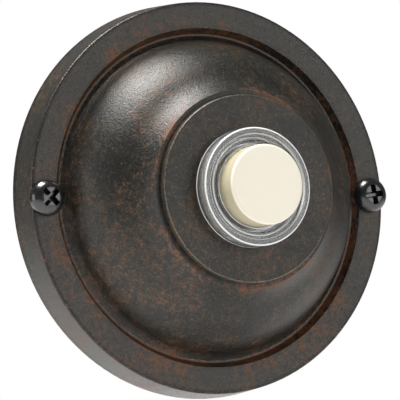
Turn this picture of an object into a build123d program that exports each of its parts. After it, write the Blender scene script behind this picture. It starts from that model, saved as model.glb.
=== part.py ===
from build123d import *
import math
import os

# Round lighted doorbell button for a wall: a bell-shaped cast cover with a flange, a clear
# collar that holds an ivory push button, and two pan head screws.
# Frame: millimetres, +Z up, the wall is the plane Y = 0 and the button looks along -Y.
# A height below is a distance out from the wall, so it lies at Y = -height.

# Cast cover, outside
flange_diameter = 63.5
flange_height = 6.1
flange_edge_radius = 0.35
side_draft = 0.5
flange_width = 4.27
groove_width = 0.75
groove_depth = 1.25
bead_width = 0.3
bead_rise = 0.12
flare_angle = 22.0
flare_width = 1.35
flare_rise = 1.65
inflection_radius = 19.2
inflection_rise = 7.7
neck_radius = 15.8
neck_rise = 11.2
plateau_diameter = 29.9
plateau_step = 1.27
plateau_edge_radius = 0.3

# Cast cover, inside
cover_wall = 2.2
rim_wall = 2.6
screw_boss_radius = 3.0
insert_hole_gap = 0.08

# Mounting screws
screw_edge_distance = 2.45
screw_hole_radius = 2.0
screw_shank_radius = 1.75
screw_length = 9.5
screw_tip_length = 2.2
screw_tip_radius = 0.15
screw_head_radius = 2.85
screw_head_height = 2.0
screw_head_side = 0.8
screw_crown_radius = 1.2
left_screw_turn = 45.0
right_screw_turn = 8.0
cross_length = 3.3
cross_width = 0.95
cross_depth = 1.3
cross_taper = 12.0

# Clear collar and its barrel
collar_radius = 9.42
collar_height = 2.93
collar_edge_radius = 0.3
collar_rim_width = 1.05
channel_depth = 0.6
channel_width = 0.6
inner_step_width = 0.45
inner_step_height = 0.3
barrel_wall = 0.9
barrel_length = 12.9
guide_length = 2.0

# Ivory button
button_radius = 6.35
button_running_gap = 0.15
button_stand_out = 3.2
button_edge_radius = 0.45
button_wall = 1.15
button_lip_width = 0.5
button_lip_height = 1.2
lip_running_gap = 0.15
button_travel = 1.5

# Contacts, spring and lamp
contact_ring_thickness = 0.5
contact_ring_hole_radius = 2.6
contact_gap_left = 0.05
strip_thickness = 0.5
strip_width = 2.4
strip_setback = 0.45
strip_tab_length = 1.0
spring_wire_radius = 0.25
spring_mean_radius = 3.3
spring_turns = 5.0
base_disc_thickness = 3.0
base_flange_thickness = 1.2
lamp_radius = 1.5
lamp_flange_width = 0.3
lamp_flange_thickness = 0.9
lamp_height = 5.4
lamp_lift = 0.8
lead_spacing = 2.54
lead_radius = 0.25
resistor_radius = 0.8
resistor_length = 3.6
resistor_setback = 1.65

# Wire terminals
terminal_spacing = 6.8
terminal_shank_radius = 1.2
terminal_head_radius = 2.1
terminal_head_height = 1.2
terminal_slot_width = 0.6
terminal_slot_depth = 0.6
washer_thickness = 0.4

# Push-on clip that holds the barrel
clip_width = 2.7
clip_thickness = 0.5
clip_teeth = 8
clip_notch_width = 1.3
clip_notch_depth = 1.5
clip_gap = 0.02

# Levels worked out from the sizes above, all as heights from the wall
flange_radius = flange_diameter / 2
back_radius = flange_radius + side_draft
groove_radius = flange_radius - flange_width
groove_foot_radius = groove_radius - groove_width
groove_level = flange_height - groove_depth
bead_radius = groove_foot_radius - bead_width
bead_level = groove_level + bead_rise
flare_radius = bead_radius - flare_width
flare_level = groove_level + flare_rise
bend_level = flare_level + inflection_rise
neck_level = flare_level + neck_rise
plateau_radius = plateau_diameter / 2
plateau_level = neck_level + plateau_step
plateau_underside = plateau_level - cover_wall
collar_top = plateau_level + collar_height
channel_floor = collar_top - channel_depth
inner_step_top = channel_floor + inner_step_height
button_bore = button_radius + button_running_gap
lip_radius = button_radius + button_lip_width
lip_bore = lip_radius + lip_running_gap
barrel_radius = lip_bore + barrel_wall
insert_hole_radius = barrel_radius + insert_hole_gap
guide_underside = plateau_level + collar_height - channel_depth - guide_length
barrel_end = plateau_level - barrel_length
button_top = collar_top + button_stand_out
lip_top = guide_underside
lip_bottom = lip_top - button_lip_height
ring_underside = lip_bottom - contact_ring_thickness
strip_tip = ring_underside - button_travel - contact_gap_left
base_top = barrel_end + base_disc_thickness
base_back = barrel_end - base_flange_thickness
strip_face = base_back - strip_thickness
washer_face = strip_face - washer_thickness
terminal_x = terminal_spacing / 2
strip_outer_x = lip_bore - strip_setback
strip_inner_x = strip_outer_x - strip_thickness
screw_x = flange_radius - screw_edge_distance
lamp_foot = base_top + lamp_lift

front = Plane.XZ  # its normal is -Y, out of the wall


def level(height):
    """Plane facing out of the wall at a height above it."""
    return front.offset(height)


def at(radius, height):
    """Point of a turned profile, drawn in the XY plane."""
    return (radius, -height)


def direction(slope):
    """Tangent of a profile that climbs inwards at a slope in degrees."""
    return (-math.cos(math.radians(slope)), -math.sin(math.radians(slope)))


def turned(points):
    """Adds a profile of straight runs, turned about the Y axis."""
    with BuildSketch(Plane.XY) as profile:
        with BuildLine():
            Polyline(*points, close=True)
        make_face()
    revolve(profile.sketch, axis=Axis.Y)


def save(builder, name):
    """Labels a finished piece and writes its file."""
    builder.part.label = name
    export_step(builder.part, f"parts/{name}.step")


os.makedirs("parts", exist_ok=True)


# Cast cover: flange, groove with a fine bead, flare, convex shoulder, concave neck, flat plateau
def bell_outline(inset, top_level):
    """Flare, shoulder and neck up to the plateau; inset moves the curve into the metal."""
    foot = at(bead_radius - inset, bead_level - 0.3 * inset)
    flare_end = at(flare_radius - 0.95 * inset, flare_level - 0.4 * inset)
    bend = at(inflection_radius - 0.6 * inset, bend_level - 0.8 * inset)
    neck = at(neck_radius - inset, neck_level - 0.9 * inset)
    flare = TangentArc(foot, flare_end, tangent=direction(flare_angle))
    shoulder = TangentArc(flare_end, bend, tangent=flare % 1)
    TangentArc(bend, neck, tangent=shoulder % 1)
    top_radius = plateau_radius - inset
    Polyline(neck, at(top_radius, neck_level - 0.9 * inset), at(top_radius, top_level), at(0, top_level),
             at(0, 0))


with BuildPart() as cover:
    with BuildSketch(Plane.XY):
        with BuildLine():
            Polyline(at(0, 0), at(back_radius, 0), at(flange_radius, flange_height),
                     at(groove_radius, flange_height), at(groove_foot_radius, groove_level),
                     at(groove_foot_radius, bead_level), at(bead_radius, bead_level))
            bell_outline(0, plateau_level)
        make_face()
    revolve(axis=Axis.Y)
    round_edges = cover.edges().filter_by(GeomType.CIRCLE)
    flange_edge = round_edges.filter_by(
        lambda e: abs(e.radius - flange_radius) < 0.01 and abs(e.arc_center.Y + flange_height) < 0.01)
    fillet(flange_edge, flange_edge_radius)
    plateau_edge = cover.edges().filter_by(GeomType.CIRCLE).filter_by(
        lambda e: abs(e.radius - plateau_radius) < 0.01 and abs(e.arc_center.Y + plateau_level) < 0.01)
    fillet(plateau_edge, plateau_edge_radius)

with BuildPart() as hollow:
    with BuildSketch(Plane.XY):
        with BuildLine():
            flange_underside = flange_height - cover_wall
            inner_foot = at(bead_radius - cover_wall, bead_level - 0.3 * cover_wall)
            Polyline(at(0, 0), at(back_radius - rim_wall, 0),
                     at(flange_radius - rim_wall, flange_underside),
                     at(groove_radius + 0.3 * cover_wall, flange_underside),
                     at(groove_foot_radius, groove_level - 0.8 * cover_wall),
                     at(bead_radius - cover_wall, groove_level - 0.8 * cover_wall), inner_foot)
            bell_outline(cover_wall, plateau_underside)
        make_face()
    revolve(axis=Axis.Y)
    with BuildSketch(level(0)):
        with Locations((-screw_x, 0), (screw_x, 0)):
            Circle(screw_boss_radius)
    extrude(amount=flange_height, mode=Mode.SUBTRACT)

with BuildPart() as escutcheon:
    add(cover.part)
    add(hollow.part, mode=Mode.SUBTRACT)
    with BuildSketch(level(0)):
        Circle(insert_hole_radius)
    extrude(amount=plateau_level, mode=Mode.SUBTRACT)
    with BuildSketch(level(0)):
        with Locations((-screw_x, 0), (screw_x, 0)):
            Circle(screw_hole_radius)
    extrude(amount=flange_height, mode=Mode.SUBTRACT)
save(escutcheon, "escutcheon")


# Pan head screws with a cross recess and a plain shank to a point
def mounting_screw(x, turn, name):
    with BuildPart() as screw:
        with BuildSketch(Plane.XY):
            with BuildLine():
                head_top = flange_height + screw_head_height
                tip = flange_height - screw_length
                crown = at(screw_crown_radius, head_top)
                side = at(screw_head_radius, flange_height + screw_head_side)
                TangentArc(crown, side, tangent=(1, 0))
                Polyline(side, at(screw_head_radius, flange_height),
                         at(screw_shank_radius, flange_height),
                         at(screw_shank_radius, tip + screw_tip_length),
                         at(screw_tip_radius, tip), at(0, tip), at(0, head_top), crown)
            make_face()
        revolve(axis=Axis.Y)
        with BuildSketch(level(head_top)):
            Rectangle(cross_length, cross_width, rotation=turn)
            Rectangle(cross_width, cross_length, rotation=turn)
        extrude(amount=-cross_depth, taper=cross_taper, mode=Mode.SUBTRACT)
    screw.part.position = (x, 0, 0)
    screw.part.label = name
    export_step(screw.part, f"parts/{name}.step")


mounting_screw(-screw_x, left_screw_turn, "left_mounting_screw")
mounting_screw(screw_x, right_screw_turn, "right_mounting_screw")

# Clear collar with a stepped channel round the button, and the barrel behind it
with BuildPart() as clear_bezel:
    rim_inner = collar_radius - collar_rim_width
    turned([
        at(collar_radius, plateau_level), at(collar_radius, collar_top), at(rim_inner, collar_top),
        at(rim_inner - 0.15, channel_floor), at(rim_inner - channel_width, channel_floor),
        at(rim_inner - channel_width - 0.1, inner_step_top),
        at(rim_inner - channel_width - inner_step_width, inner_step_top),
        at(rim_inner - channel_width - inner_step_width - 0.1, channel_floor),
        at(button_bore, channel_floor),
        at(button_bore, guide_underside), at(lip_bore, guide_underside), at(lip_bore, barrel_end),
        at(barrel_radius, barrel_end), at(barrel_radius, plateau_level),
    ])
    collar_edge = clear_bezel.edges().filter_by(GeomType.CIRCLE).filter_by(
        lambda e: abs(e.radius - collar_radius) < 0.01 and abs(e.arc_center.Y + collar_top) < 0.01)
    fillet(collar_edge, collar_edge_radius)
save(clear_bezel, "clear_bezel")

# Ivory button: a cap, hollow behind, with a lip that stops under the guide
with BuildPart() as push_button:
    turned([
        at(0, button_top), at(button_radius, button_top), at(button_radius, lip_top),
        at(lip_radius, lip_top), at(lip_radius, lip_bottom),
        at(button_radius - button_wall, lip_bottom),
        at(button_radius - button_wall, button_top - button_wall), at(0, button_top - button_wall),
    ])
    button_edge = push_button.edges().filter_by(GeomType.CIRCLE).filter_by(
        lambda e: abs(e.radius - button_radius) < 0.01 and abs(e.arc_center.Y + button_top) < 0.01)
    fillet(button_edge, button_edge_radius)
save(push_button, "push_button")

# Brass ring under the button, which bridges the two strips when it is pressed
with BuildPart() as contact_ring:
    with BuildSketch(level(ring_underside)):
        Circle(lip_radius)
        Circle(contact_ring_hole_radius, mode=Mode.SUBTRACT)
    extrude(amount=contact_ring_thickness)
save(contact_ring, "contact_ring")

# Return spring between the terminal base and the contact ring
spring_bottom = base_top + spring_wire_radius
spring_height = ring_underside - spring_wire_radius - spring_bottom
with BuildPart() as return_spring:
    with BuildLine() as coil_path:
        Helix(pitch=spring_height / spring_turns, height=spring_height, radius=spring_mean_radius,
              center=at(0, spring_bottom), direction=(0, -1, 0))
    with BuildSketch(Plane(origin=coil_path.line @ 0, z_dir=coil_path.line % 0)):
        Circle(spring_wire_radius)
    sweep(is_frenet=True)
save(return_spring, "return_spring")

# Terminal base: a disc up the barrel, a flange over its end, holes for screws, strips and leads
with BuildPart() as terminal_base:
    with BuildSketch(level(base_back)):
        Circle(barrel_radius)
    extrude(amount=base_flange_thickness)
    with BuildSketch(level(barrel_end)):
        Circle(lip_bore)
    extrude(amount=base_disc_thickness)
    with BuildSketch(level(base_back)):
        with Locations((-terminal_x, 0), (terminal_x, 0)):
            Circle(terminal_shank_radius)
        strip_middle = (strip_outer_x + strip_inner_x) / 2
        with Locations((-strip_middle, 0), (strip_middle, 0)):
            Rectangle(strip_thickness, strip_width)
        with Locations((-lead_spacing / 2, 0), (lead_spacing / 2, 0)):
            Circle(lead_radius)
    extrude(amount=base_flange_thickness + base_disc_thickness, mode=Mode.SUBTRACT)
save(terminal_base, "terminal_base")


# Brass strips: a foot under the terminal screw, a leg up the barrel and a tab that the ring meets
def contact_strip(side, name):
    with BuildPart() as strip:
        with BuildSketch(level(strip_face)):
            with Locations((side * terminal_x, 0)):
                Circle(terminal_head_radius)
            foot_end = (side * (terminal_x + strip_outer_x) / 2, 0)
            with Locations(foot_end):
                Rectangle(strip_outer_x - terminal_x, strip_width)
            with Locations((side * terminal_x, 0)):
                Circle(terminal_shank_radius, mode=Mode.SUBTRACT)
        extrude(amount=strip_thickness)
        with BuildSketch(level(base_back)):
            with Locations((side * strip_middle, 0)):
                Rectangle(strip_thickness, strip_width)
        extrude(amount=strip_tip - base_back)
        with BuildSketch(level(strip_tip)):
            with Locations((side * (strip_outer_x - (strip_thickness + strip_tab_length) / 2), 0)):
                Rectangle(strip_thickness + strip_tab_length, strip_width)
        extrude(amount=-strip_thickness)
    save(strip, name)


contact_strip(-1, "left_contact")
contact_strip(1, "right_contact")


# Slotted terminal screws with a washer under each head, for the bell wires
def terminal(side, name):
    with BuildPart() as washer:
        with BuildSketch(level(washer_face)):
            with Locations((side * terminal_x, 0)):
                Circle(terminal_head_radius)
                Circle(terminal_shank_radius, mode=Mode.SUBTRACT)
        extrude(amount=washer_thickness)
    save(washer, f"{name}_washer")
    with BuildPart() as screw:
        with BuildSketch(level(washer_face)):
            with Locations((side * terminal_x, 0)):
                Circle(terminal_head_radius)
        extrude(amount=-terminal_head_height)
        head_rim = screw.edges().filter_by(GeomType.CIRCLE).sort_by(Axis.Y)[-1]
        fillet(head_rim, 0.35)
        with BuildSketch(level(washer_face)):
            with Locations((side * terminal_x, 0)):
                Circle(terminal_shank_radius)
        extrude(amount=base_top - washer_face)
        with BuildSketch(level(washer_face - terminal_head_height)):
            with Locations((side * terminal_x, 0)):
                Rectangle(terminal_slot_width, 2 * terminal_head_radius)
        extrude(amount=terminal_slot_depth, mode=Mode.SUBTRACT)
    save(screw, f"{name}_screw")


terminal(-1, "left_terminal")
terminal(1, "right_terminal")

# Small round lamp behind the button, standing on its two leads
lamp_top = lamp_foot + lamp_height
with BuildPart() as led_lamp:
    with BuildSketch(Plane.XY):
        with BuildLine():
            Polyline(at(0, lamp_foot), at(lamp_radius + lamp_flange_width, lamp_foot),
                     at(lamp_radius + lamp_flange_width, lamp_foot + lamp_flange_thickness),
                     at(lamp_radius, lamp_foot + lamp_flange_thickness), at(lamp_radius, lamp_top - lamp_radius))
            ThreePointArc(at(lamp_radius, lamp_top - lamp_radius),
                          at(lamp_radius * math.sqrt(0.5), lamp_top - lamp_radius * (1 - math.sqrt(0.5))),
                          at(0, lamp_top))
            Line(at(0, lamp_top), at(0, lamp_foot))
        make_face()
    revolve(axis=Axis.Y)
save(led_lamp, "led_lamp")


# Lamp leads: straight down through the base to the feet of the strips
def lamp_lead(side, name):
    start = side * lead_spacing / 2
    with BuildPart() as lead:
        with BuildSketch(level(base_back)):
            with Locations((start, 0)):
                Circle(lead_radius)
        extrude(amount=lamp_foot - base_back)
    save(lead, name)


lamp_lead(-1, "left_lamp_lead")
lamp_lead(1, "right_lamp_lead")

# Resistor lying on the base beside the spring
with BuildPart() as resistor:
    with BuildSketch(Plane.YZ.offset(-resistor_length / 2)):
        with Locations((-(base_top + resistor_radius), lip_bore - resistor_setback)):
            Circle(resistor_radius)
    extrude(amount=resistor_length)
    fillet(resistor.edges().filter_by(GeomType.CIRCLE), 0.25)
save(resistor, "resistor")

# Push-on spring clip: a thin ring with notches that leave teeth on the barrel
with BuildPart() as retainer_clip:
    with BuildSketch(level(plateau_underside)):
        Circle(barrel_radius + clip_width)
        Circle(barrel_radius + clip_gap, mode=Mode.SUBTRACT)
        with PolarLocations(barrel_radius, clip_teeth):
            Rectangle(2 * clip_notch_depth, clip_notch_width, mode=Mode.SUBTRACT)
    extrude(amount=-clip_thickness)
save(retainer_clip, "retainer_clip")
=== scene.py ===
import bpy
import bmesh
import math
from mathutils import Matrix, Vector


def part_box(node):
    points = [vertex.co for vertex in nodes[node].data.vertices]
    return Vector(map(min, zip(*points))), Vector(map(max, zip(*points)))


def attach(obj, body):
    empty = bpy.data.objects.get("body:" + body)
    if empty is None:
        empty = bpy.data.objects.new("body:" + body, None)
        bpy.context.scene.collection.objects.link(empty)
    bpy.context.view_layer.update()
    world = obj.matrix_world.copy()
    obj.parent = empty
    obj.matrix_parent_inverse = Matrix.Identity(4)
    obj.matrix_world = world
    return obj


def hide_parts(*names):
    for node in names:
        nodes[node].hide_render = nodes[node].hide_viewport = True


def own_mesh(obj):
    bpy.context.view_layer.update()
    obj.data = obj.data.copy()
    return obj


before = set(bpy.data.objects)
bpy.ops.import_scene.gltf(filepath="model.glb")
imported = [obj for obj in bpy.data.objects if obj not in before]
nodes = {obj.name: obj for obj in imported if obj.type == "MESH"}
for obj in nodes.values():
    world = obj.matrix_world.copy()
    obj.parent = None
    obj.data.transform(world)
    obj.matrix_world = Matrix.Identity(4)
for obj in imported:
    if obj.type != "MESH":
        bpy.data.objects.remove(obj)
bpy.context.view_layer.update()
print("cover, collar, button and screws loaded")

mm = 0.001
scene = bpy.context.scene


# Materials
class Wire:  # a socket that takes + - * / and comparisons
    def __init__(self, tree, socket):
        self.tree = tree
        self.socket = socket

    def math(self, operation, first, second=None, clamp=False):
        node = self.tree.nodes.new("ShaderNodeMath")
        node.operation = operation
        node.use_clamp = clamp
        for slot, value in enumerate((first, second)):
            if isinstance(value, Wire):
                self.tree.links.new(value.socket, node.inputs[slot])
            elif value is not None:
                node.inputs[slot].default_value = value
        return Wire(self.tree, node.outputs[0])

    def __add__(self, other):
        return self.math("ADD", self, other)

    def __radd__(self, other):
        return self.math("ADD", other, self)

    def __sub__(self, other):
        return self.math("SUBTRACT", self, other)

    def __rsub__(self, other):
        return self.math("SUBTRACT", other, self)

    def __mul__(self, other):
        return self.math("MULTIPLY", self, other)

    def __rmul__(self, other):
        return self.math("MULTIPLY", other, self)

    def __truediv__(self, other):
        return self.math("DIVIDE", self, other)

    def __rtruediv__(self, other):
        return self.math("DIVIDE", other, self)

    def __pow__(self, other):
        return self.math("POWER", self, other)

    def __rpow__(self, other):
        return self.math("POWER", other, self)

    def __gt__(self, other):
        return self.math("GREATER_THAN", self, other)

    def __neg__(self):
        return self.math("MULTIPLY", self, -1.0)

    def clamped(self):
        return self.math("ADD", self, 0.0, clamp=True)

    def absolute(self):
        return self.math("ABSOLUTE", self)

    def step(self, low, high):  # 0 below low, 1 above high, smooth between
        t = ((self - low) / (high - low)).clamped()
        return t * t * (3.0 - 2.0 * t)

    def blended(self, other, share):  # part of another wire in this one
        return self * (1.0 - share) + other * share

    def band(self, middle, halfWidth):  # 1 at the middle, 0 past the half width
        return 1.0 - ((self - middle).absolute() / halfWidth).step(0.0, 1.0)


class Finish:  # a material with its shader and the coordinates of the piece
    def __init__(self, name, **constants):
        self.material = bpy.data.materials.new(name)
        self.material.use_nodes = True
        self.tree = self.material.node_tree
        self.shader = self.tree.nodes["Principled BSDF"]
        for socketName, value in constants.items():
            self.shader.inputs[socketName.replace("_", " ")].default_value = value
        self.place = self.node("ShaderNodeTexCoord").outputs["Object"]
        axes = self.node("ShaderNodeSeparateXYZ", inputs={"Vector": self.place})
        self.x = Wire(self.tree, axes.outputs["X"]) / mm
        self.height = Wire(self.tree, axes.outputs["Y"]) / -mm
        self.z = Wire(self.tree, axes.outputs["Z"]) / mm

    def radius(self):  # distance from the button's axis
        return (self.x * self.x + self.z * self.z) ** 0.5

    def node(self, kind, settings=None, inputs=None):
        made = self.tree.nodes.new(kind)
        for name, value in (settings or {}).items():
            setattr(made, name, value)
        for name, value in (inputs or {}).items():
            socket = made.inputs[name]
            if isinstance(value, Wire):
                self.tree.links.new(value.socket, socket)
            elif isinstance(value, bpy.types.NodeSocket):
                self.tree.links.new(value, socket)
            else:
                socket.default_value = value
        return made

    def noise(self, scalePerMm, detail, roughness=0.6):
        made = self.node("ShaderNodeTexNoise", inputs={
            "Vector": self.place, "Scale": scalePerMm / mm, "Detail": detail, "Roughness": roughness})
        return Wire(self.tree, made.outputs["Fac"])

    def mix(self, amount, first, second):  # colour, or the colour of another mix
        made = self.node("ShaderNodeMix", {"data_type": "RGBA"})
        for slot, value in ((0, amount), (6, first), (7, second)):
            socket = made.inputs[slot]
            if isinstance(value, Wire):
                self.tree.links.new(value.socket, socket)
            elif isinstance(value, bpy.types.NodeSocket):
                self.tree.links.new(value, socket)
            else:
                socket.default_value = value
        return made.outputs[2]

    def colour(self, socket):
        self.tree.links.new(socket, self.shader.inputs["Base Color"])

    def rough(self, wire):
        self.tree.links.new(wire.socket, self.shader.inputs["Roughness"])

    def bump(self, wire, heightInMm):
        made = self.node("ShaderNodeBump", inputs={
            "Height": wire, "Distance": heightInMm * mm, "Strength": 1.0})
        self.tree.links.new(made.outputs[0], self.shader.inputs["Normal"])


def paint(red, green, blue):  # a display colour, 0 to 255, as linear light
    def linear(v):
        v = v / 255
        return v / 12.92 if v <= 0.04045 else ((v + 0.055) / 1.055) ** 2.4
    return (linear(red), linear(green), linear(blue), 1.0)


# Where a finish holds a pair "from" and "to", a noise or a place fades in between them. Lengths are in mm.
# the bronze table holds the patina and also a painted sheen, a painted shade and painted highlights
patinaAndPaintedLight = {
    "dark": paint(28, 28, 26), "brown": paint(44, 40, 32), "flange": paint(58, 56, 52),
    "pit": paint(20, 18, 17), "speck": paint(92, 84, 66), "rust": paint(100, 64, 41),
    "edgeHighlightColour": paint(128, 118, 104), "metallic": 0.25, "ior": 1.45,
    "cloudsPerMm": 0.13, "patchesPerMm": 1.0, "specksPerMm": 2.6, "grainsPerMm": 3.4, "coarse": 0.7,
    "brownPatches": 0.5, "brownFrom": 0.4, "brownTo": 0.6,
    "pitPatches": 0.4, "pitFrom": 0.36, "pitTo": 0.5, "pitShare": 0.75,
    "specksFrom": 0.56, "specksTo": 0.72, "speckShare": 0.6,
    "rustGrains": 0.5, "rustClouds": 0.3, "rustFrom": 0.53, "rustTo": 0.69, "rustShare": 0.85,
    "groove": (26.95, 0.95),  # radius and half width
    "rimShade": (31.45, 0.5), "rimShadeShare": 0.85,  # painted shade along the flange's rounded outer edge
    "creases": ((28.6, 1.8, 0.6), (15.9, 1.3, 0.8)),  # radius, half width and share of the groove's rust
    "creasePatches": 0.4, "creaseFrom": 0.42, "creaseTo": 0.62, "creaseRust": 0.14,
    "lowerRust": 0.05, "lowerDrop": 60.0, "lowerSide": 160.0,  # more rust towards the lower left
    # the flange painted lighter and greyer than the dome is a painted sheen
    "flangeFrom": 27.2, "flangeTo": 28.2, "flangeAbove": 1.0, "flangeShare": 0.55,
    # pale rings painted on the bead's crest and the plateau's edge are painted highlights
    "highlightedEdges": (26.4, 14.85), "edgeHighlightWidth": 0.16, "edgeHighlightFrom": 0.35, "edgeHighlightTo": 0.6, "edgeHighlightShare": 0.55,
    "roughness": 0.34, "rustRoughness": 0.2, "grainRoughness": 0.15, "grainDepth": 0.08,
}


def bronzeFinish():
    p = patinaAndPaintedLight
    f = Finish("darkBronzePatinaAndPaintedLight", Metallic=p["metallic"], IOR=p["ior"])
    radius = f.radius()
    clouds = f.noise(p["cloudsPerMm"], detail=3.0)
    patches = f.noise(p["patchesPerMm"], detail=4.0, roughness=p["coarse"])
    grains = f.noise(p["grainsPerMm"], detail=4.0)
    specks = f.noise(p["specksPerMm"], detail=3.0, roughness=p["coarse"])
    crease = sum(radius.band(middle, width) * share for middle, width, share in p["creases"])
    crease = crease * clouds.blended(patches, p["creasePatches"]).step(p["creaseFrom"], p["creaseTo"])
    crease = crease + radius.band(*p["groove"])
    lower = (-f.z / p["lowerDrop"] - f.x / p["lowerSide"]) * p["lowerRust"]
    push = patches.blended(grains, p["rustGrains"]) + (clouds - 0.5) * p["rustClouds"]
    rust = (push + crease * p["creaseRust"] + lower).step(p["rustFrom"], p["rustTo"])
    brown = clouds.blended(patches, p["brownPatches"]).step(p["brownFrom"], p["brownTo"])
    colour = f.mix(brown, p["dark"], p["brown"])
    # painted sheen: the flange's face and side are lighter and greyer than the dome, for the light its flat
    # face catches
    flange = radius.step(p["flangeFrom"], p["flangeTo"]) * (f.height > p["flangeAbove"])
    colour = f.mix(flange * p["flangeShare"], colour, p["flange"])
    smooth = grains.blended(patches, p["pitPatches"]).step(p["pitFrom"], p["pitTo"])
    # dark pits, plus the painted shade along the flange's rounded outer edge
    dark = (1.0 - smooth) * p["pitShare"] + radius.band(*p["rimShade"]) * p["rimShadeShare"]
    colour = f.mix(dark.clamped(), colour, p["pit"])
    colour = f.mix(specks.step(p["specksFrom"], p["specksTo"]) * p["speckShare"], colour, p["speck"])
    colour = f.mix(rust * p["rustShare"], colour, p["rust"])
    # painted highlights: pale rings along the bead's crest and the plateau's edge, broken up by the grain
    edgeHighlight = sum(radius.band(edge, p["edgeHighlightWidth"]) for edge in p["highlightedEdges"])
    f.colour(f.mix(edgeHighlight * grains.step(p["edgeHighlightFrom"], p["edgeHighlightTo"]) * p["edgeHighlightShare"], colour, p["edgeHighlightColour"]))
    f.rough(p["roughness"] + rust * p["rustRoughness"] + (grains - 0.5) * p["grainRoughness"])
    f.bump(grains, p["grainDepth"])
    return f.material


acrylic = {
    "body": (0.97, 0.98, 0.98, 1.0), "roughness": 0.03, "ior": 1.49,
    # the pale shader mixed in at the edges and foot is a painted highlight
    "highlightWhite": (0.85, 0.86, 0.86, 1.0), "highlightRoughness": 0.2, "highlightShare": 0.8, "cloudiness": 0.09,
    "edges": ((9.25, 0.2), (8.33, 0.14), (7.72, 0.14), (6.6, 0.12)),  # radius and half width
    "edgesFrom": 20.6, "edgesTo": 21.4, "footHeight": 19.2, "footWidth": 0.28, "footRadius": 8.9,
}


def clearFinish():  # clear acrylic with pale painted highlights on its moulded edges and foot
    a = acrylic
    f = Finish("clearAcrylic", Base_Color=a["body"], Roughness=a["roughness"], IOR=a["ior"],
               Transmission_Weight=1.0)
    radius = f.radius()
    # painted highlights: pale rings at the rims' radii on the front, and one round the foot
    edges = sum(radius.band(middle, width) for middle, width in a["edges"])
    front = f.height.step(a["edgesFrom"], a["edgesTo"])
    footHighlight = f.height.band(a["footHeight"], a["footWidth"]) * (radius > a["footRadius"])
    share = (edges * front + footHighlight).clamped() * a["highlightShare"] + a["cloudiness"]
    highlightWhite = f.node("ShaderNodeBsdfPrincipled", inputs={
        "Base Color": a["highlightWhite"], "Roughness": a["highlightRoughness"], "IOR": a["ior"]})
    both = f.node("ShaderNodeMixShader")
    f.tree.links.new(share.socket, both.inputs[0])
    f.tree.links.new(f.shader.outputs[0], both.inputs[1])
    f.tree.links.new(highlightWhite.outputs[0], both.inputs[2])
    f.tree.links.new(both.outputs[0], f.tree.nodes["Material Output"].inputs["Surface"])
    return f.material


mouldedGrain = {"from": 0.35, "to": 0.65, "roughness": 0.1}
rolledGrain = {"from": 0.4, "to": 0.7, "roughness": 0.15, "shade": 0.8, "ringTint": 0.01}


def shaded(colour, shade):
    return tuple(c * shade for c in colour[:3]) + (1.0,)


def plainFinish(name, colour, roughness, specksPerMm, shade, **constants):
    f = Finish(name, **constants)
    grain = f.noise(specksPerMm, detail=3.0)
    specks = grain.step(mouldedGrain["from"], mouldedGrain["to"])
    f.colour(f.mix(specks, shaded(colour, shade), colour))
    f.rough(roughness + (grain - 0.5) * mouldedGrain["roughness"])
    return f.material


def rolledFinish(name, colour, roughness, specksPerMm):  # metal, a little lighter away from the axis
    f = Finish(name, Metallic=1.0)
    grain = f.noise(specksPerMm, detail=2.0)
    tint = (grain + f.radius() * rolledGrain["ringTint"]).step(rolledGrain["from"], rolledGrain["to"])
    f.colour(f.mix(tint, shaded(colour, rolledGrain["shade"]), colour))
    f.rough(roughness + (grain - 0.5) * rolledGrain["roughness"])
    return f.material


lacquer = {
    "body": paint(196, 166, 118), "roughness": 0.35, "bandWidth": 0.24, "bandCut": 0.3,
    "bands": ((-1.1, paint(120, 60, 30)), (-0.4, paint(60, 60, 60)), (0.3, paint(190, 40, 30)),
              (1.1, paint(190, 150, 50))),
}


def bandedFinish():  # resistor body with its colour bands
    f = Finish("resistorLacquer", Roughness=lacquer["roughness"])
    colour = lacquer["body"]
    for place, band in lacquer["bands"]:
        colour = f.mix(f.x.band(place, lacquer["bandWidth"]) > lacquer["bandCut"], colour, band)
    f.colour(colour)
    return f.material


ivory = {
    # the darker side colour is a painted shade
    "face": paint(219, 212, 195), "side": paint(177, 168, 141), "roughness": 0.35,
    "faceFrom": 24.5, "faceTo": 25.0, "cloudsPerMm": 0.4, "clouds": 0.16,
}


def ivoryFinish():  # painted shade: the sides are darker and yellower than the pressed face
    f = Finish("ivoryPlastic", Roughness=ivory["roughness"])
    clouds = 1.0 + (f.noise(ivory["cloudsPerMm"], detail=3.0) - 0.5) * ivory["clouds"]
    f.colour(f.mix(f.height.step(ivory["faceFrom"], ivory["faceTo"]) * clouds, ivory["side"], ivory["face"]))
    return f.material


finishes = {
    "bronze": bronzeFinish(),
    "clear": clearFinish(),
    "ivory": ivoryFinish(),
    "black": plainFinish("blackLacquer", paint(17, 16, 16), 0.26, 1.2, 0.7,
                         Coat_Weight=0.5, Coat_Roughness=0.12),
    "brass": rolledFinish("rolledBrass", paint(214, 178, 104), 0.28, 1.5),
    "nickel": rolledFinish("nickelPlate", paint(205, 202, 194), 0.25, 2.0),
    "steel": rolledFinish("springSteel", paint(176, 177, 180), 0.3, 1.0),
    "base": plainFinish("blackPhenolic", paint(34, 33, 32), 0.5, 0.8, 0.8),
    "lens": plainFinish("frostedLens", paint(244, 236, 214), 0.35, 0.6, 0.95, Transmission_Weight=0.4),
    "resistor": bandedFinish(),
}
print("materials made")


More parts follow.
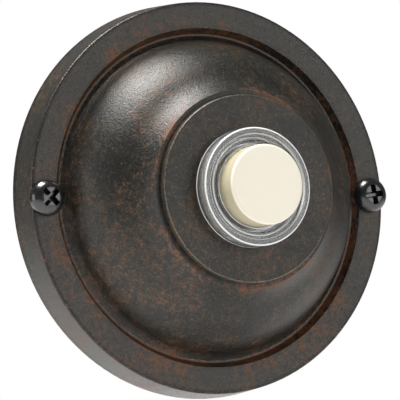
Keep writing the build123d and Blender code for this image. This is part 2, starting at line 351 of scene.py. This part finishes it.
# CAD pieces
nodeFinishes = {
    "escutcheon": "bronze", "clear_bezel": "clear", "push_button": "ivory", "contact_ring": "brass",
    "return_spring": "steel", "terminal_base": "base", "left_contact": "brass",
    "right_contact": "brass", "left_terminal_screw": "nickel", "right_terminal_screw": "nickel",
    "left_terminal_washer": "nickel", "right_terminal_washer": "nickel", "led_lamp": "lens",
    "left_lamp_lead": "nickel", "right_lamp_lead": "nickel", "resistor": "resistor",
    "retainer_clip": "steel", "left_mounting_screw": "black", "right_mounting_screw": "black",
}


weldDistance = 0.0005 * mm


def smoothed(piece, angle):  # smooth shading with edges sharper than the angle kept
    mesh = piece.data
    work = bmesh.new()
    work.from_mesh(mesh)
    bmesh.ops.remove_doubles(work, verts=work.verts, dist=weldDistance)
    for edge in work.edges:
        if len(edge.link_faces) == 2:
            edge.smooth = edge.calc_face_angle(0.0) < math.radians(angle)
    for face in work.faces:
        face.smooth = True
    work.to_mesh(mesh)
    work.free()


def dressed(piece, finish):
    piece.data.materials.clear()
    piece.data.materials.append(finishes[finish])


for name, finish in nodeFinishes.items():
    dressed(nodes[name], finish)

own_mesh(nodes["return_spring"])
print("CAD pieces painted")


# Mounting screws with their threads
mountingScrew = {
    "seat": 6.1, "shankRadius": 1.75, "coreRadius": 1.28,
    "threadPitch": 1.35, "threadFrom": 1.2, "threadTo": 8.4, "threadThick": 0.34, "threadSides": 4,
    "stepsPerTurn": 28, "pointLength": 2.4, "pointPull": 0.25, "near": 0.02, "sharpAngle": 35,
}


def threadTree(name):  # a helical ridge that narrows towards the screw's point
    tree = bpy.data.node_groups.new(name, "GeometryNodeTree")
    sockets = tree.interface
    sockets.new_socket("Geometry", in_out="INPUT", socket_type="NodeSocketGeometry")
    for label in ("Radius", "Pitch", "Length", "Ridge"):
        sockets.new_socket(label, in_out="INPUT", socket_type="NodeSocketFloat")
    sockets.new_socket("Finish", in_out="INPUT", socket_type="NodeSocketMaterial")
    sockets.new_socket("Geometry", in_out="OUTPUT", socket_type="NodeSocketGeometry")
    new, link = tree.nodes.new, tree.links.new
    given = new("NodeGroupInput")
    result = new("NodeGroupOutput")

    def maths(operation, first, second):
        node = new("ShaderNodeMath")
        node.operation = operation
        for slot, value in enumerate((first, second)):
            if isinstance(value, bpy.types.NodeSocket):
                link(value, node.inputs[slot])
            else:
                node.inputs[slot].default_value = value
        return node.outputs[0]

    spiral = new("GeometryNodeCurveSpiral")
    spiral.inputs["Resolution"].default_value = mountingScrew["stepsPerTurn"]
    link(maths("DIVIDE", given.outputs["Length"], given.outputs["Pitch"]), spiral.inputs["Rotations"])
    middle = maths("SUBTRACT", given.outputs["Radius"], given.outputs["Ridge"])
    link(middle, spiral.inputs["Start Radius"])
    link(middle, spiral.inputs["End Radius"])
    link(given.outputs["Length"], spiral.inputs["Height"])
    ridge = new("GeometryNodeCurvePrimitiveCircle")
    ridge.inputs["Resolution"].default_value = mountingScrew["threadSides"]
    link(given.outputs["Ridge"], ridge.inputs["Radius"])
    tube = new("GeometryNodeCurveToMesh")
    tube.inputs["Fill Caps"].default_value = True
    link(spiral.outputs[0], tube.inputs["Curve"])
    link(ridge.outputs[0], tube.inputs["Profile Curve"])
    whole = new("GeometryNodeRealizeInstances")
    link(tube.outputs[0], whole.inputs[0])
    coated = new("GeometryNodeSetMaterial")
    link(whole.outputs[0], coated.inputs["Geometry"])
    link(given.outputs["Finish"], coated.inputs["Material"])
    link(coated.outputs[0], result.inputs[0])
    return tree


def grown(name, tree, values):  # runs a tree on an empty mesh and keeps the plain result
    carrier = bpy.data.objects.new(name + "Carrier", bpy.data.meshes.new(name + "Carrier"))
    scene.collection.objects.link(carrier)
    modifier = carrier.modifiers.new("grow", "NODES")
    modifier.node_group = tree
    for item in tree.interface.items_tree:
        if item.in_out == "INPUT" and item.name in values:
            modifier[item.identifier] = values[item.name]
    bpy.context.view_layer.update()
    grownObject = carrier.evaluated_get(bpy.context.evaluated_depsgraph_get())
    mesh = bpy.data.meshes.new_from_object(grownObject)
    bpy.data.objects.remove(carrier)
    mesh.name = name
    return mesh


def turnedScrew(name):
    size = mountingScrew
    low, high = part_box(name)
    axis = (low.x + high.x) / 2
    pointStart = high.y - size["pointLength"] * mm
    near = size["near"]
    work = bmesh.new()
    work.from_mesh(nodes[name].data)
    bmesh.ops.remove_doubles(work, verts=work.verts, dist=weldDistance)
    for vert in work.verts:  # the plain shank draws in to the thread's core
        out = math.hypot(vert.co.x - axis, vert.co.z)
        if vert.co.y > -(size["seat"] + near) * mm and out < (size["shankRadius"] + near) * mm:
            pull = size["coreRadius"] / size["shankRadius"]
            vert.co.x = axis + (vert.co.x - axis) * pull
            vert.co.z *= pull
    thread = grown(name + "Thread", threadTree(name + "ThreadTree"), {
        "Radius": size["shankRadius"] * mm, "Pitch": size["threadPitch"] * mm,
        "Length": (size["threadTo"] - size["threadFrom"]) * mm, "Ridge": size["threadThick"] * mm,
        "Finish": finishes["black"]})
    start = (size["threadFrom"] - size["seat"]) * mm
    thread.transform(Matrix.Translation((axis, start, 0)) @ Matrix.Rotation(-math.pi / 2, 4, "X"))
    for vert in thread.vertices:  # the last turns follow the point
        past = vert.co.y - pointStart
        if past > 0:
            pull = max(size["pointPull"], 1 - past / (size["pointLength"] * mm))
            vert.co.x = axis + (vert.co.x - axis) * pull
            vert.co.z *= pull
    ridge = bmesh.new()
    ridge.from_mesh(thread)
    bmesh.ops.recalc_face_normals(ridge, faces=ridge.faces)
    ridge.to_mesh(thread)
    ridge.free()
    work.from_mesh(thread)
    mesh = bpy.data.meshes.new(name + "Threaded")
    work.to_mesh(mesh)
    work.free()
    screw = bpy.data.objects.new(name + "Threaded", mesh)
    scene.collection.objects.link(screw)
    smoothed(screw, size["sharpAngle"])
    dressed(screw, "black")
    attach(screw, "housing")
    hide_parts(name)


for name in ("left_mounting_screw", "right_mounting_screw"):
    turnedScrew(name)
print("mounting screws threaded")


# Light, floor and camera
studio = {
    "worldStrength": 0.17, "backgroundStrength": 1.0, "floorLevel": -60.0, "floorSize": 1200.0,
    "floorColour": (0.85, 0.85, 0.85, 1.0), "floorRoughness": 0.8,
    "panels": {
        "overheadPanel": {"place": (-110, -30, 475), "target": (0, -10, 0), "size": (300, 170), "power": 5.9},
        "frontPanel": {"place": (280, -520, 110), "target": (0, -10, 0), "size": (300, 300), "power": 0.88},
        "sidePanel": {"place": (-520, 60, 20), "target": (0, 0, 0), "size": (300, 300), "power": 0.9},
    },
}


def studioWorld():
    world = bpy.data.worlds.new("paleRoom")
    scene.world = world
    world.use_nodes = True
    tree = world.node_tree
    tree.nodes.clear()
    path = tree.nodes.new("ShaderNodeLightPath")
    light = tree.nodes.new("ShaderNodeBackground")
    light.inputs["Color"].default_value = (1, 1, 1, 1)
    light.inputs["Strength"].default_value = studio["worldStrength"]
    seen = tree.nodes.new("ShaderNodeBackground")
    seen.inputs["Color"].default_value = (1, 1, 1, 1)
    seen.inputs["Strength"].default_value = studio["backgroundStrength"]
    camera = Wire(tree, path.outputs["Is Camera Ray"])
    through = Wire(tree, path.outputs["Is Transmission Ray"])
    both = (camera + through).clamped()
    mix = tree.nodes.new("ShaderNodeMixShader")
    tree.links.new(both.socket, mix.inputs[0])
    tree.links.new(light.outputs[0], mix.inputs[1])
    tree.links.new(seen.outputs[0], mix.inputs[2])
    out = tree.nodes.new("ShaderNodeOutputWorld")
    tree.links.new(mix.outputs[0], out.inputs[0])


def softLamp(name, place, target, size, power):  # a soft panel that looks at a point
    data = bpy.data.lights.new(name, "AREA")
    data.shape = "RECTANGLE"
    data.size, data.size_y = size[0] * mm, size[1] * mm
    data.energy = power
    lamp = bpy.data.objects.new(name, data)
    lamp.location = Vector(place) * mm
    aim = Vector(target) * mm - lamp.location
    lamp.rotation_mode = "QUATERNION"
    lamp.rotation_quaternion = aim.to_track_quat("-Z", "Y")
    scene.collection.objects.link(lamp)


studioWorld()
for name, panel in studio["panels"].items():
    softLamp(name, **panel)


def layFloor():
    half, level = studio["floorSize"] / 2 * mm, studio["floorLevel"] * mm
    corners = [(x * half, y * half, level) for x, y in ((-1, -1), (1, -1), (1, 1), (-1, 1))]
    mesh = bpy.data.meshes.new("paleFloor")
    mesh.from_pydata(corners, [], [(0, 1, 2, 3)])
    paper = Finish("palePaper", Base_Color=studio["floorColour"], Roughness=studio["floorRoughness"])
    mesh.materials.append(paper.material)
    floor = bpy.data.objects.new("paleFloor", mesh)
    scene.collection.objects.link(floor)


layFloor()

photoCamera = {
    "azimuth": -27.55, "elevation": -5.111, "roll": -3.148, "distance": 500.0, "lens": 282.36,
    "sensor": 36.0, "target": (-4.178, -10.0, -0.889), "nearest": 0.05, "farthest": 5.0,
}


def placeCamera():
    data = bpy.data.cameras.new("photoCamera")
    data.sensor_width = photoCamera["sensor"]
    data.lens = photoCamera["lens"]
    data.clip_start, data.clip_end = photoCamera["nearest"], photoCamera["farthest"]
    camera = bpy.data.objects.new("photoCamera", data)
    a, e, r = (math.radians(photoCamera[k]) for k in ("azimuth", "elevation", "roll"))
    back = Vector((math.sin(a) * math.cos(e), -math.cos(a) * math.cos(e), math.sin(e)))
    right = Vector((math.cos(a), math.sin(a), 0))
    up = back.cross(right)
    tiltedRight = right * math.cos(r) + up * math.sin(r)
    tiltedUp = up * math.cos(r) - right * math.sin(r)
    turn = Matrix((tiltedRight, tiltedUp, back)).transposed().to_4x4()
    place = (Vector(photoCamera["target"]) + back * photoCamera["distance"]) * mm
    camera.matrix_world = Matrix.Translation(place) @ turn
    scene.collection.objects.link(camera)
    scene.camera = camera


placeCamera()
scene.view_settings.view_transform = "Standard"
print("studio and camera set")
